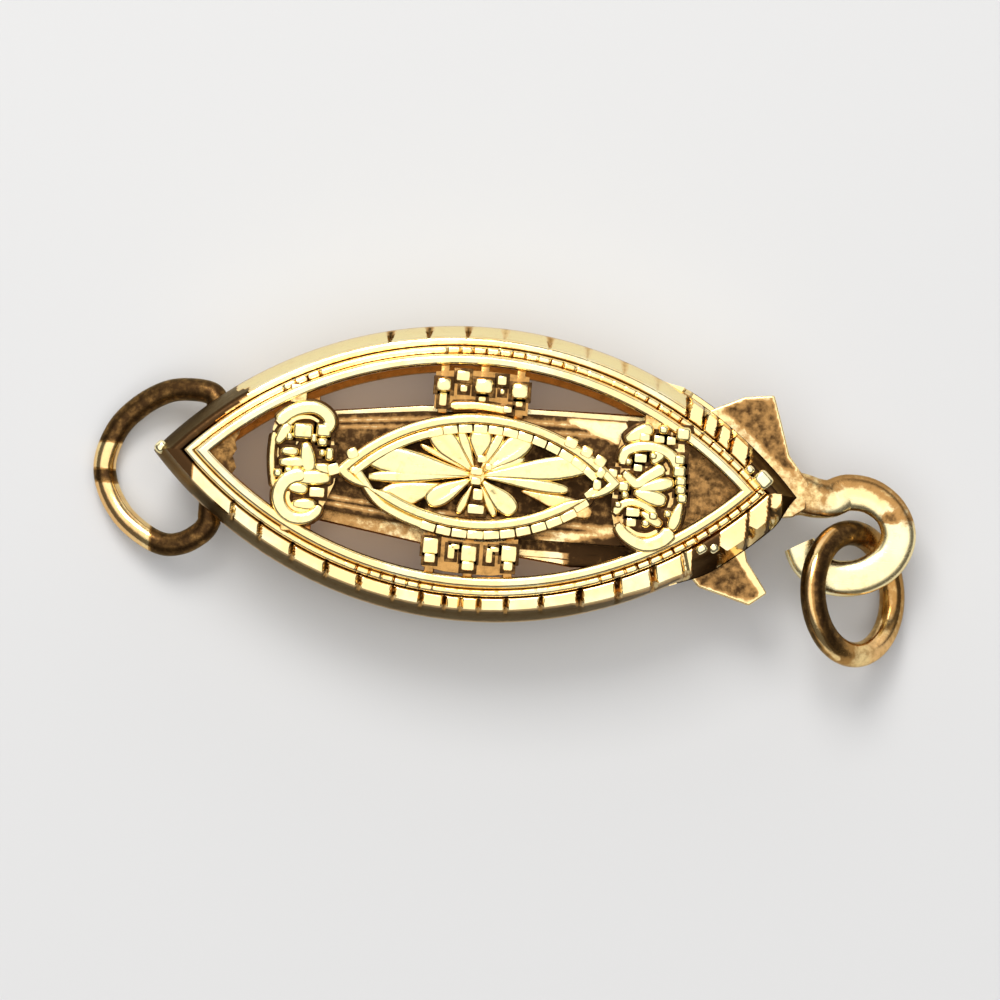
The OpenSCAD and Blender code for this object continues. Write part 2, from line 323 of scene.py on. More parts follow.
def arc_half(profile, radius, centre, steps, side, shape):
    """One side of a marquise ring: a profile of (inset, height) spun about the arc's centre, mitred at the tips."""
    bm = bmesh.new()
    hub = Vector((0, -centre, 0))
    ring = [bm.verts.new((0, radius - d - centre, z)) for d, z in profile]
    edges = [bm.edges.new((ring[i], ring[(i + 1) % len(ring)])) for i in range(len(ring))]
    reach = math.acos(centre / radius) + 0.02
    bmesh.ops.rotate(bm, cent=hub, matrix=Matrix.Rotation(reach, 3, "Z"), verts=ring)
    bmesh.ops.spin(bm, geom=ring + edges, cent=hub, axis=(0, 0, 1), angle=-2 * reach, steps=steps,
                   use_merge=False, use_duplicate=False)
    if shape:
        for v in bm.verts:
            r = math.hypot(v.co.x, v.co.y + centre)
            turn = math.atan2(v.co.x, v.co.y + centre)
            d, z = shape(turn, radius - r, v.co.z, side)
            v.co = on_arc(radius - d, centre, turn, 1, z)
    split(bm, (0, 0, 0), (0, -1, 0), clear_outer=True)
    if side < 0:
        bmesh.ops.scale(bm, vec=(1, -1, 1), verts=bm.verts)
    return bm


def arc_ring(profile, radius, centre, steps, shape=None):
    """Both sides of a marquise ring; shape turns (turn, inset, height, side) into a point's inset and height."""
    bm = arc_half(profile, radius, centre, steps, 1, shape)
    join(bm, arc_half(profile, radius, centre, steps, -1, shape))
    bmesh.ops.remove_doubles(bm, verts=bm.verts, dist=0.0008)
    bmesh.ops.recalc_face_normals(bm, faces=bm.faces)
    return bm


def loft(bm, rings, closed=False):
    """Joins rings of points by extruding the first one's edges, and caps both ends or closes the loop."""
    first = here = [bm.verts.new(c) for c in rings[0]]
    edges = [bm.edges.new((here[i], here[(i + 1) % len(here)])) for i in range(len(here))]
    for coords in rings[1:]:
        made = bmesh.ops.extrude_edge_only(bm, edges=edges)["geom"]
        fresh = {g for g in made if isinstance(g, bmesh.types.BMVert)}
        edges = [g for g in made if isinstance(g, bmesh.types.BMEdge) and g.verts[0] in fresh and g.verts[1] in fresh]
        link = {e.other_vert(v): v for v in fresh for e in v.link_edges if e.other_vert(v) in here}
        here = [link[o] for o in here]
        for v, c in zip(here, coords):
            v.co = c
    if closed:
        last = [e for e in bm.edges if e.verts[0] in first and e.verts[1] in first]
        bmesh.ops.bridge_loops(bm, edges=edges + last)
    else:
        bm.faces.new(first)
        bm.faces.new(here)


def sweep(bm, path, section, widths=None, closed=False, side=None):
    """Draws a section of (across, upwards) points along a path; side says what is across where it isn't level."""
    rings = []
    n = len(path)
    for k, p in enumerate(path):
        ahead = path[(k + 1) % n] if closed else path[min(k + 1, n - 1)]
        behind = path[k - 1] if closed or k else path[0]
        along = (ahead - behind).normalized()
        across = along.cross(UP).normalized() if side is None else side
        rise = across.cross(along)
        w = widths[k] if widths else 1.0
        rings.append([p + across * (a * w) + rise * b for a, b in section])
    loft(bm, rings, closed)


def oval(wide, high, n, power=2.0):
    """Points of a rounded section, squarer as the power rises."""
    out = []
    for i in range(n):
        a = 2 * math.pi * i / n
        c, s = math.cos(a), math.sin(a)
        out.append((wide / 2 * math.copysign(abs(c) ** (2 / power), c),
                    high / 2 * math.copysign(abs(s) ** (2 / power), s)))
    return out


def soften(bm, edges, offset, segments):
    bmesh.ops.bevel(bm, geom=list(edges), offset=offset, offset_type="OFFSET", affect="EDGES", segments=segments,
                    profile=0.5, material=-1)


def block(bm, place, size, turn=0.0, soft=0.03):
    """A small block with rounded edges."""
    matrix = Matrix.Translation(place) @ Matrix.Rotation(turn, 4, "Z") @ Matrix.Diagonal((*size, 1.0))
    verts = bmesh.ops.create_cube(bm, size=1.0, matrix=matrix)["verts"]
    soften(bm, {e for v in verts for e in v.link_edges}, soft, 2)


def pad(bm, matrix, soft=0.075):
    """A pillow-shaped lump, one unit long, wide and high before the matrix."""
    verts = bmesh.ops.create_cube(bm, size=1.0, matrix=matrix)["verts"]
    edges = {e for v in verts for e in v.link_edges}
    soften(bm, edges, min(soft, 0.4 * min(e.calc_length() for e in edges)), 3)


# Edges that turn by more than this stay sharp under the smooth shading
SHARP = math.radians(40)


def piece(name, bm, body, finish, node, darkening):
    """Finishes one piece: painted shade from 1 to 0 or painted highlight down to -1, metres, shading, material and
    body;
    it hides the CAD part that it replaces.
    """
    layer = bm.verts.layers.float.new("shade_and_tarnish")
    for v in bm.verts:
        v[layer] = min(max(darkening(v), -1.0), 1.0)
    bmesh.ops.scale(bm, vec=(MM, MM, MM), verts=bm.verts)
    for f in bm.faces:
        f.smooth = True
    for e in bm.edges:
        if len(e.link_faces) == 2 and e.calc_face_angle(0.0) > SHARP:
            e.smooth = False
    obj = mesh_object(name, bm)
    obj.data.materials.append(material(finish))
    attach(obj, body)
    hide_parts(node)


# Border of the shells

# Outside of the wall, as inset and height: slope, edge, crease, beaded line, groove and lip
WALL = [
    (0.0, 1.6), (0.012, 1.72), (0.04, 1.86), (0.085, 2.03), (0.14, 2.2), (0.19, 2.34), (0.235, 2.46),
    (0.262, 2.53), (0.28, 2.585), (0.3, 2.625), (0.33, 2.655), (0.37, 2.67), (0.42, 2.675), (0.455, 2.67),
    (0.475, 2.655), (0.488, 2.63), (0.497, 2.61), (0.506, 2.64), (0.515, 2.69), (0.53, 2.725), (0.555, 2.745),
    (0.6, 2.752), (0.635, 2.745), (0.655, 2.73), (0.668, 2.705), (0.676, 2.72), (0.686, 2.79), (0.7, 2.845),
    (0.725, 2.88), (0.76, 2.895), (0.81, 2.9), (0.865, 2.895), (0.9, 2.875), (0.922, 2.84), (0.93, 2.79),
    (0.93, 2.7), (0.915, 2.64)]
# Insets of its crease and its groove
CREASE, GROOVE = 0.497, 0.669
# The part of it where the inset only grows
RISE = WALL[:33]
# Inside of the same wall, from the lip down
LINING = [(0.72, 2.5), (0.57, 2.3), (0.44, 2.02), (0.345, 1.78), (0.3, 1.6)]
# Where the stamped notches fall along the clasp, and how deep each is
NOTCHES = {
    1: [
        (-2.04, 1.0), (-1.21, 0.9), (-0.37, 0.8), (0.43, 0.3), (1.41, 0.6), (2.24, 0.35), (3.05, 0.35),
        (3.8, 0.3), (4.48, 1.2), (4.83, 1.1), (5.14, 1.1), (5.44, 1.1), (5.85, 1.2)],
    -1: [
        (-5.15, 0.8), (-4.53, 0.9), (-3.8, 0.9), (-3.05, 0.9), (-2.32, 0.8), (-1.57, 0.8), (-0.96, 0.8),
        (-0.45, 0.8), (-0.1, 0.6), (0.29, 0.7), (0.88, 0.8), (1.63, 0.8), (2.45, 1.1), (3.25, 0.9), (3.99, 0.9),
        (4.62, 0.5)]}
# Cast lumps of the border near its tips: place along the clasp, side, inset, length, breadth
LUMPS = [
    (5.9, 1, 0.44, 0.2, 0.18), (6.2, 1, 0.38, 0.4, 0.34), (4.98, -1, 0.36, 0.26, 0.2),
    (5.24, -1, 0.26, 0.24, 0.24), (-6.8, 1, 0.1, 0.28, 0.24)]
# Where the border's cast lobes begin, as an inset along the clasp, and their height from there to the crease
LOBES = {
    1: [(-9, 0.07), (5.86, 0.07), (5.92, 0.3), (9, 0.3)],
    -1: [
        (-9, 0.2), (2.3, 0.2), (2.55, 0.12), (3.3, 0.1), (3.9, 0.05), (4.74, 0.03), (4.8, 0.3), (5.36, 0.3),
        (5.42, 0.05), (5.84, 0.04), (5.9, 0.26), (5.96, 0.26), (6.02, 0.06), (6.3, 0.07), (6.34, 0.3),
        (6.4, 0.3), (6.44, 0.16), (6.6, 0.18), (6.66, 0.4), (9, 0.4)]}
CROWN = [(0, 2.5), (0.2, 2.645), (1, 2.667)]
# Inset that the painted shade of the left tip reaches on the upper side
SHADED = [(-6.1, 0.52), (-5.3, 0.44), (-5.0, 0.4), (-4.96, 0.0), (9, 0.0)]
# How clearly the beaded line is cut into beads along the clasp
BEADED = {
    1: [
        (-9, 0), (-4.4, 0), (-4.1, 1), (-3.5, 1), (-3.2, 0.1), (-0.9, 0.1), (-0.6, 0.8), (1.9, 0.8), (2.2, 0.2),
        (3.2, 0.2), (3.4, 0.9), (9, 0.9)],
    -1: [(-9, 0), (-2.8, 0.1), (-2.4, 0.7), (-1, 0.7), (-0.7, 0.2), (2.6, 0.2), (3.0, 0.9), (9, 0.9)]}

# How far a whole notch presses the border inwards and down
NOTCH_IN, NOTCH_DOWN = 0.1, 0.13
# Depth of the cuts between the beads, and half their width as a share of a bead
BEAD_CUT, BEAD_GAP = 0.07, 0.11


def border_cut(x, side, wide):
    """How deep the notches are at x, 0 to about 1."""
    slope = 0.76 if abs(x) > 4 else 0.93
    return max([depth * max(0.0, 1 - abs(x - at) / (wide * slope)) ** 0.8 for at, depth in NOTCHES[side]] + [0.0])


def notch_width(x, side, d):
    """Half width of a notch: V-shaped on the upper side, narrow clefts between the lobes."""
    if side > 0:
        return 0.04 + 0.36 * max(0.28 - d, 0.0) if x < 4.4 else 0.06
    return 0.07 if x < 2.3 else 0.09


def border_shape(radius, bead):
    """Rule that moves the plain border's points to its lobes, notches, bulge, slot and cut beads."""
    def shape(turn, d, z, side):
        x = (radius - d) * math.sin(turn)
        outside = d < 0.5 and (d < 0.28 or z > 2.4)
        bulge = 0.0
        if outside and side < 0:
            bulge = 0.15 * window(x, 4.2, 5.2, 6.4, 6.95) * (1 - d / 0.5)
        if x > SLOT_START and z < SEAM + SLOT_HALF:
            return d - bulge, SEAM + SLOT_HALF
        tip = smoothstep(4.1, 4.7, x) if side > 0 else smoothstep(2.2, 2.9, x)
        inset = d
        # The slope is stretched to end where the lobes begin, and crowned from there
        if outside and d < 0.36:
            edge = lookup(x, LOBES[side])
            t = (d - 0.2) / 0.16
            new_d, new_z = (d * edge / 0.2, z) if t < 0 else (edge + t * (0.36 - edge), lookup(t, CROWN))
            k = 1.0 if side < 0 else smoothstep(4.42, 4.5, x)
            inset, z = d + (new_d - d) * k, z + (new_z - z) * k
        inset -= bulge
        # Notches pressed into the edge, then the beaded line cut into beads
        if outside:
            low, high = (0.02, 0.26) if side > 0 else (0.17, 0.4)
            share = max(window(d, low, low + 0.06, high, high + 0.08), tip * window(d, 0.05, 0.12, 0.42, 0.49))
            cut = border_cut(x, side, notch_width(x, side, d)) * share
            d = inset + NOTCH_IN * cut
            z -= NOTCH_DOWN * cut
        elif 0.52 < d < 0.67 and z > 2.68:
            phase = turn * radius / bead + (0.3 if side > 0 else 0.1)
            gap = max(0.0, 1 - abs(phase - math.floor(phase) - 0.5) / BEAD_GAP)
            z -= BEAD_CUT * gap * lookup(x, BEADED[side])
        return d, z
    return shape


def border_place(x, side, d):
    """Matrix that lies on the border's slope at x, with its Z outwards."""
    (radius, centre), _ = marquises()
    turn = math.asin(x / (radius - d))
    slope = (lookup(d + 0.05, RISE) - lookup(d - 0.05, RISE)) / 0.1
    along = Vector((math.cos(turn), -side * math.sin(turn), 0))
    inward = Vector((-math.sin(turn), -side * math.cos(turn), slope)).normalized()
    out = along.cross(inward)
    if out.z < 0:
        out = -out
    out = (0.22 * out + UP).normalized()
    inward = out.cross(along) if side > 0 else along.cross(out)
    along = inward.cross(out)
    point = on_arc(radius - d, centre, turn, side, lookup(d, RISE))
    return Matrix.Translation(point) @ Matrix((along, inward, out)).transposed().to_4x4()


class CLASP_OT_front_border(bpy.types.Operator):
    """Sloping border of the front shell: notched edge, beaded line and smooth inner lip"""
    bl_idname = "clasp.front_border"
    bl_label = "Front border"

    def execute(self, context):
        s = context.scene.clasp_sizes
        (radius, centre), _ = marquises()
        bm = arc_ring(WALL + LINING, radius, centre, s.steps, border_shape(radius, s.bead / MM))

        def rule(v):
            """Painted shade in crease, groove, bead gaps, inside and on shaded walls; painted highlight on the lit
            wall.
            """
            side = 1 if v.co.y > 0 else -1
            d = radius - math.hypot(v.co.x, abs(v.co.y) + centre)
            x = v.co.x
            crease = max(0.0, 1 - abs(d - CREASE) / 0.024)
            groove = 0.9 * max(0.0, 1 - abs(d - GROOVE) / 0.014)
            gaps = 0.9 * smoothstep(0.01, 0.05, 2.74 - v.co.z) if 0.545 < d < 0.645 and v.co.z > 2.5 else 0.0
            inside = 0.5 if d > 0.925 or v.co.z < 2.55 and d > 0.31 + (v.co.z - 1.6) * 0.3 else 0.0
            wall = 0.0
            if d < 0.3 and v.co.z < 2.62:
                notch = border_cut(x, side, notch_width(x, side, d)) * smoothstep(0.0, 0.05, d)
                if side > 0:
                    low = 1 - smoothstep(2.15, 2.5, v.co.z)
                    left_tip = smoothstep(-4.95 - 0.1 * low, -5.05 - 1.6 * low, x)
                    right_tip = 0.9 * smoothstep(5.9, 6.2, x)
                    wall = max(1.1 * notch, left_tip, right_tip, 0.7 * (1 - smoothstep(0.0, 0.03, d)))
                    # The rest of the lit upper wall gets a painted highlight
                    if wall < 0.05:
                        return -1.0
                else:
                    edge = lookup(x, LOBES[-1])
                    below = 1 - smoothstep(edge - 0.01, edge + 0.02, d)
                    wall = max(below, 0.8 * notch, 0.95 * smoothstep(-5.3, -5.6, x)) * smoothstep(0.0, 0.02, d)
            elif d < 0.48 and (side < 0 or x > 4.2):
                wall = smoothstep(0.2, 0.7, border_cut(x, side, notch_width(x, side, d)))
            if d < 0.51:
                wall = max(wall, smoothstep(-6.02, -6.1, x))
            if side > 0 and d < lookup(x, SHADED):
                wall = max(wall, 0.97)
            if d < 0.48 and x > 4.7 and lookup(x, LOBES[side]) > 0.24:
                wall = max(wall, 0.95)
            return max(crease, groove, gaps, inside, wall)
        piece("front_border", bm, "clasp", "housing", "front_shell", rule)
        lumps = bmesh.new()
        for x, side, d, long, wide in LUMPS:
            pad(lumps, border_place(x, side, d) @ Matrix.Diagonal((long, wide, 0.3, 1.0)), 0.1)
        # The lumps get a painted highlight all over
        piece("border_lumps", lumps, "clasp", "housing", "front_shell", lambda v: -0.7)
        return {"FINISHED"}


def drilled(context, bm):
    """The wall of the back shell with the end ring's two holes cut through it."""
    drill = bmesh.new()
    bmesh.ops.create_cone(drill, cap_ends=True, segments=40, radius1=HOLE, radius2=HOLE, depth=6,
                          matrix=Matrix.Translation(PIVOT) @ Matrix.Rotation(math.pi / 2, 4, "X"))
    wall, cutter = mesh_object("wall", bm), mesh_object("drill", drill)
    cut = wall.modifiers.new("holes", "BOOLEAN")
    cut.operation, cut.solver, cut.object = "DIFFERENCE", "EXACT", cutter
    context.view_layer.update()
    done = bpy.data.meshes.new_from_object(wall.evaluated_get(context.evaluated_depsgraph_get()))
    out = bmesh.new()
    out.from_mesh(done)
    for obj in (wall, cutter):
        bpy.data.objects.remove(obj)
    bpy.data.meshes.remove(done)
    return out


class CLASP_OT_back_shell(bpy.types.Operator):
    """Back shell: the same border turned over, a plain middle plate, its links and the two holes of the end ring"""
    bl_idname = "clasp.back_shell"
    bl_label = "Back shell"

    def execute(self, context):
        s = context.scene.clasp_sizes
        (radius, centre), (inner, inner_centre) = marquises()
        over = [(d, max(2 * SEAM - z, 0.0)) for d, z in WALL + LINING]

        def shape(turn, d, z, side):
            x = (radius - d) * math.sin(turn)
            if side > 0 and d < 0.3:
                d -= 0.13 * window(x, 3.9, 4.5, 5.8, 6.4) * smoothstep(0.7, 1.2, z)
            if x > SLOT_START and z > SEAM - SLOT_HALF:
                z = SEAM - SLOT_HALF
            return d, z
        bm = drilled(context, arc_ring(over, radius, centre, s.steps // 2, shape))
        rim = [(0.64, 0.36), (0.65, 0.02), (0.67, 0.0), (0.75, 0.0), (0.77, 0.02), (0.78, 0.36)]
        join(bm, arc_ring(rim, radius, centre, s.steps // 2))
        middle = inner - inner_centre - 0.002
        face = [(0.0, 0.3), (0.0, 0.5), (0.03, 0.54), (middle, 0.54), (middle, 0.0), (0.17, 0.0), (0.15, 0.02),
                (0.15, 0.28)]
        join(bm, arc_ring(face, inner, inner_centre, 120))
        # Links between the plate and the wall: posts above and below, and at each end two rings and the bars to them
        level, thick = 0.42, 0.22
        for x in (-0.84, 0.0, 0.84):
            for y in (1, -1):
                block(bm, (x, y * 1.75, level), (0.2, 1.2, thick))
        for m in (1, -1):
            for y in (1, -1):
                ring = [Vector((m * (3.68 + 0.435 * math.cos(a)), y * (0.74 + 0.435 * math.sin(a)), level))
                        for a in [2 * math.pi * i / 28 for i in range(28)]]
                sweep(bm, ring, oval(0.25, thick, 10, 3), closed=True)
                block(bm, (m * 3.68, y * 1.4, level), (0.36, 0.45, thick))
            block(bm, (m * 3.4, 0, level), (1.3, 0.28, thick))
            block(bm, (m * 4.19, 0, level), (0.15, 1.5, 0.2))
        # Painted shade on the back shell's inner parts
        piece("back_shell_plain", bm, "clasp", "housing", "back_shell",
              lambda v: 0.6 if v.co.z > 0.3 and radius - math.hypot(v.co.x, abs(v.co.y) + centre) > 0.27 else 0.0)
        return {"FINISHED"}


# Filigree

# Heights of the pierced sheet's underside and of the low steps round the relief, painted dark as shade
LOW, FOOT = 2.66, 2.805
# How the cast pattern sits a little off the housing's middle
PATTERN = Matrix.Translation((0.08, -0.12, 0)) @ Matrix.Rotation(math.radians(1.3), 4, "Z")


def leaf(bm, start, end, width, high, vein=0.0, waist=0.35, flat=0.45, across=26, tip=0.55, foot=0.0):
    """One cast leaf: a drawn-out ball with a flat crown, a narrow start, a vein pressed along it and a low foot."""
    a, b = Vector((*start, 0)), Vector((*end, 0))
    along = b - a
    if foot:
        more = along.normalized() * foot
        wider = width + 2.2 * foot
        leaf(bm, (a - more).xy, (b + more).xy, wider, FOOT, 0.0, min(waist * 1.3, 1.0), 0.3, 18, tip)
    ball = bmesh.ops.create_uvsphere(bm, u_segments=across, v_segments=16, radius=1.0)["verts"]
    side = Vector((-along.y, along.x, 0)).normalized()
    middle, half = (high + LOW) / 2, (high - LOW) / 2
    for v in ball:
        t = (v.co.z + 1) / 2
        r = math.sqrt(max(1 - v.co.z * v.co.z, 0.0))
        c, u = (v.co.x / r, v.co.y / r) if r > 1e-6 else (0.0, 0.0)
        round_off = r ** (0.55 if t < 0.5 else tip)
        broad = waist + (1 - waist) * smoothstep(0.0, 0.75, t)
        out = math.copysign(abs(c) ** 0.75, c) * round_off * width * 0.56 * broad
        up = math.copysign(abs(u) ** flat, u) * round_off ** 0.6
        press = 0.0
        if u > 0:
            press = vein * math.exp(-(c / 0.22) ** 2) * window(t, 0.05, 0.35, 0.8, 0.97)
        v.co = a + along * t + side * out + Vector((0, 0, middle + up * half - press))


def ribbon(bm, points, width, high, taper=(1.0, 1.0)):
    """A flat-crowned wire through the points, rounded at its ends, on a low foot that is a little wider."""
    foot, full = 0.045, 1.22 * width
    path = [Vector((p[0], p[1], (high + LOW) / 2)) for p in spline([(x, y, 0) for x, y in points], 8)]
    n = len(path) - 1
    widths = []
    for k in range(n + 1):
        t = k / n
        near = min(t, 1 - t)
        end = 0.45 + 0.55 * math.sqrt(near / 0.06) if near < 0.06 else 1.0
        widths.append((taper[0] + (taper[1] - taper[0]) * t) * end)
    sweep(bm, path, oval(full, high - LOW, 16, 4.0), widths)
    low = [Vector((p.x, p.y, (FOOT + LOW) / 2)) for p in path]
    start = low[0] + (low[0] - low[1]).normalized() * foot
    end = low[-1] + (low[-1] - low[-2]).normalized() * foot
    sweep(bm, [start] + low + [end], oval(full + 2 * foot, FOOT - LOW, 12, 6.0), [widths[0]] + widths + [widths[-1]])


def arc_points(centre, radius, start, end, n=9):
    """Points of an arc between two angles in degrees."""
    turns = [math.radians(start + (end - start) * i / n) for i in range(n + 1)]
    return [(centre[0] + radius * math.cos(a), centre[1] + radius * math.sin(a)) for a in turns]


def moat(bm, x, y, wide, deep, turn=0.0):
    """A low step round the foot of a bead, painted dark as shade."""
    more = 0.12
    block(bm, (x, y, 2.735), (wide + more, deep + more, 0.14), math.radians(turn), 0.01)


def stud(bm, x, y, wide, deep, high, turn=0.0):
    """A square bead on its foot, in a shallow moat painted dark as shade."""
    block(bm, (x, y, (high + LOW) / 2), (wide, deep, high - LOW), math.radians(turn), 0.035)
    moat(bm, x, y, wide, deep, turn)


def lump(bm, x, y, wide, deep, level, high):
    """A rounded lump in the same kind of moat."""
    pad(bm, Matrix.Translation((x, y, level)) @ Matrix.Diagonal((wide, deep, high, 1.0)))
    moat(bm, x, y, wide, deep)


def flank(v):
    """Painted shade on the relief's flanks: none on the crowns, full at the feet."""
    return (2.885 - v.co.z) * 11


def crevice(v):
    """The same, and less on the open sheet."""
    return 0.58 if v.co.z < 2.79 else flank(v)


# Width of the inner frame's band, inset of its beaded line, and the band's section as inset and height
BAND, BEAD_LINE = 0.44, 0.34
FRAME_WIRE = [
    (0.0, LOW), (0.0, 2.9), (0.012, 2.97), (0.035, 3.0), (0.075, 3.015), (0.14, 3.02), (0.195, 3.015),
    (0.225, 2.99), (0.24, 2.94), (0.248, 2.84), (0.42, 2.84), (BAND, 2.82), (BAND, LOW)]
# Lumps on the inner frame: place, length, turn in degrees
FRAME_LUMPS = [
    (1.96, 0.82, 0.3, -20), (2.3, 0.64, 0.27, -24), (2.6, 0.46, 0.27, -28), (-2.72, 0.35, 0.26, 25),
    (2.63, 0.21, 0.2, -30), (2.56, -0.05, 0.2, 0)]


class CLASP_OT_inner_frame(bpy.types.Operator):
    """Small marquise frame in the middle of the filigree: a plain wire, a beaded line along it and an inner lip"""
    bl_idname = "clasp.inner_frame"
    bl_label = "Inner frame"

    def execute(self, context):
        s = context.scene.clasp_sizes
        _, (radius, centre) = marquises()

        def turned_over(x, side):
            """1 where the lower side has its beads outside the plain wire instead of inside it."""
            return smoothstep(2.95, 2.0, abs(x)) if side < 0 else 0.0

        def on_line(turn, side, z):
            """Radius of the beaded line at a turn of the arc, and the point there."""
            line = radius - BEAD_LINE + (2 * BEAD_LINE - BAND) * turned_over(radius * math.sin(turn), side)
            return line, on_arc(line, centre, turn, side, z)

        def shape(turn, d, z, side):
            return d + (BAND - 2 * d) * turned_over((radius - d) * math.sin(turn), side), z
        bm = arc_ring(FRAME_WIRE, radius, centre, 200, shape)
        bm.transform(PATTERN)
        # Painted shade, darker the lower the surface
        piece("inner_frame", bm, "clasp", "filigree", "front_shell", lambda v: (2.96 - v.co.z) * 9)
        beads = bmesh.new()
        # Left of this place the line isn't cut into beads
        plain = -1.2
        pitch = s.bead / MM * 1.2
        for y in (1, -1):
            reach = math.acos(centre / (radius - 0.3)) - 0.04
            count = round(2 * reach * radius / pitch)
            for i in range(count):
                turn = reach * (2 * (i + 0.5) / count - 1)
                if radius * math.sin(turn) < plain:
                    continue
                line, point = on_line(turn, y, 2.88)
                size = 0.95 + 0.05 * math.sin(5.1 * i + y)
                block(beads, point, (pitch * size * line / radius, 0.18, 0.2), -turn * y, 0.024)
            start, end = -reach - 0.05, math.asin((plain + 0.05) / radius)
            path = [on_line(start + (end - start) * i / 21, y, 2.876 + 0.004 * y)[1] for i in range(22)]
            sweep(beads, path, oval(0.2, 0.2, 14, 4.0))
        block(beads, (-2.66, 0.0, 2.87), (0.22, 0.16, 0.2))
        for x, y, size, turn in FRAME_LUMPS:
            block(beads, (x, y, 2.93), (size, 0.24, 0.26), math.radians(turn), 0.06)
        beads.transform(PATTERN)
        piece("frame_beads", beads, "clasp", "filigree", "front_shell", crevice)
        return {"FINISHED"}


# Angle, start and length from the hub, width, height of the crown, depth of the vein
PETALS = [
    (173.5, 0.12, 2.3, 0.6, 2.98, 0.02), (184.5, 0.14, 2.2, 0.27, 2.96, 0.0),
    (10, 0.12, 2.36, 0.52, 2.98, 0.02), (-4.5, 0.14, 1.85, 0.28, 2.96, 0.0),
    (137, 0.14, 1.22, 0.52, 2.96, 0.04), (155, 0.25, 1.15, 0.14, 2.93, 0.0), (114, 0.14, 0.9, 0.24, 2.95, 0.0),
    (88, 0.34, 0.66, 0.5, 2.96, 0.0), (64, 0.14, 0.94, 0.24, 2.95, 0.0), (41, 0.14, 1.26, 0.52, 2.96, 0.04),
    (24, 0.2, 0.9, 0.16, 2.93, 0.0), (212, 0.14, 1.08, 0.46, 2.96, 0.04), (247, 0.2, 0.72, 0.2, 2.93, 0.0),
    (298, 0.2, 0.76, 0.2, 2.93, 0.0), (320, 0.14, 1.0, 0.46, 2.96, 0.04), (198.5, 0.75, 1.45, 0.6, 2.9, 0.0),
    (-14, 1.0, 1.6, 0.4, 2.88, 0.0)]
# Square beads of the rosette: place, width, breadth, height of the crown
ROSETTE_BEADS = [
    (0.04, -0.02, 0.26, 0.17, 3.14), (0.04, -0.23, 0.22, 0.16, 3.1), (0.29, 0.1, 0.15, 0.15, 2.98),
    (0.1, -0.51, 0.22, 0.25, 3.0), (0.08, -0.83, 0.36, 0.2, 3.0), (0.13, 0.26, 0.2, 0.16, 2.98)]


class CLASP_OT_rosette(bpy.types.Operator):
    """Rosette of petals round a pair of square beads"""
    bl_idname = "clasp.rosette"
    bl_label = "Rosette"

    def execute(self, context):
        bm = bmesh.new()
        hub = Vector((0.05, -0.11))
        for angle, start, length, width, high, vein in PETALS:
            way = Vector((math.cos(math.radians(angle)), math.sin(math.radians(angle))))
            blunt = 0.32 if 30 < angle < 145 else 0.5
            leaf(bm, hub + way * start, hub + way * (start + length), width, high, vein, tip=blunt)
        bmesh.ops.create_cone(bm, cap_ends=True, segments=24, radius1=0.24, radius2=0.16, depth=0.22,
                              matrix=Matrix.Translation((*hub, 2.8)))
        for x, y, wide, deep, high in ROSETTE_BEADS:
            stud(bm, x, y, wide, deep, high)
        piece("rosette", bm, "clasp", "filigree", "front_shell", crevice)
        return {"FINISHED"}


# Outlines of the sheet left between the pierced places, under the relief
WEBS = {
    "tip": [
        (-5.78, 0.02), (-5.08, 0.62), (-5.12, 0.42), (-5.2, 0.28), (-5.14, 0.1), (-5.22, -0.06), (-5.13, -0.3),
        (-5.2, -0.44), (-5.08, -0.62), (-5.78, -0.02)],
    "left": [
        (-4.4, 0.62), (-4.32, 0.92), (-4.05, 1.14), (-3.7, 1.26), (-3.4, 1.2), (-3.14, 0.96), (-3.1, 0.6),
        (-3.04, 0.2), (-2.96, -0.1), (-3.0, -0.5), (-3.16, -0.9), (-3.3, -1.2), (-3.6, -1.38), (-3.9, -1.34),
        (-4.16, -1.12), (-4.32, -0.75), (-4.42, -0.3), (-4.44, 0.15)],
    "right": [
        (3.0, 0.3), (3.04, 0.7), (3.14, 1.1), (3.5, 1.32), (4.1, 1.28), (4.44, 1.0), (4.5, 0.5), (4.52, -0.1),
        (4.54, -0.5), (4.4, -1.02), (4.16, -1.3), (3.8, -1.42), (3.4, -1.34), (3.1, -1.06), (2.98, -0.6),
        (3.0, -0.1)],
    "upper": [
        (-0.98, 1.3), (-0.99, 2.08), (-0.5, 2.14), (0.05, 2.16), (0.6, 2.14), (1.02, 2.1), (1.04, 1.26),
        (0.5, 1.3), (0.0, 1.32), (-0.5, 1.32)],
    "lower": [
        (-1.0, -1.4), (-0.98, -2.12), (-0.5, -2.2), (0.0, -2.22), (0.5, -2.22), (1.02, -2.14), (1.04, -1.4),
        (0.5, -1.5), (0.0, -1.52), (-0.5, -1.48)]}
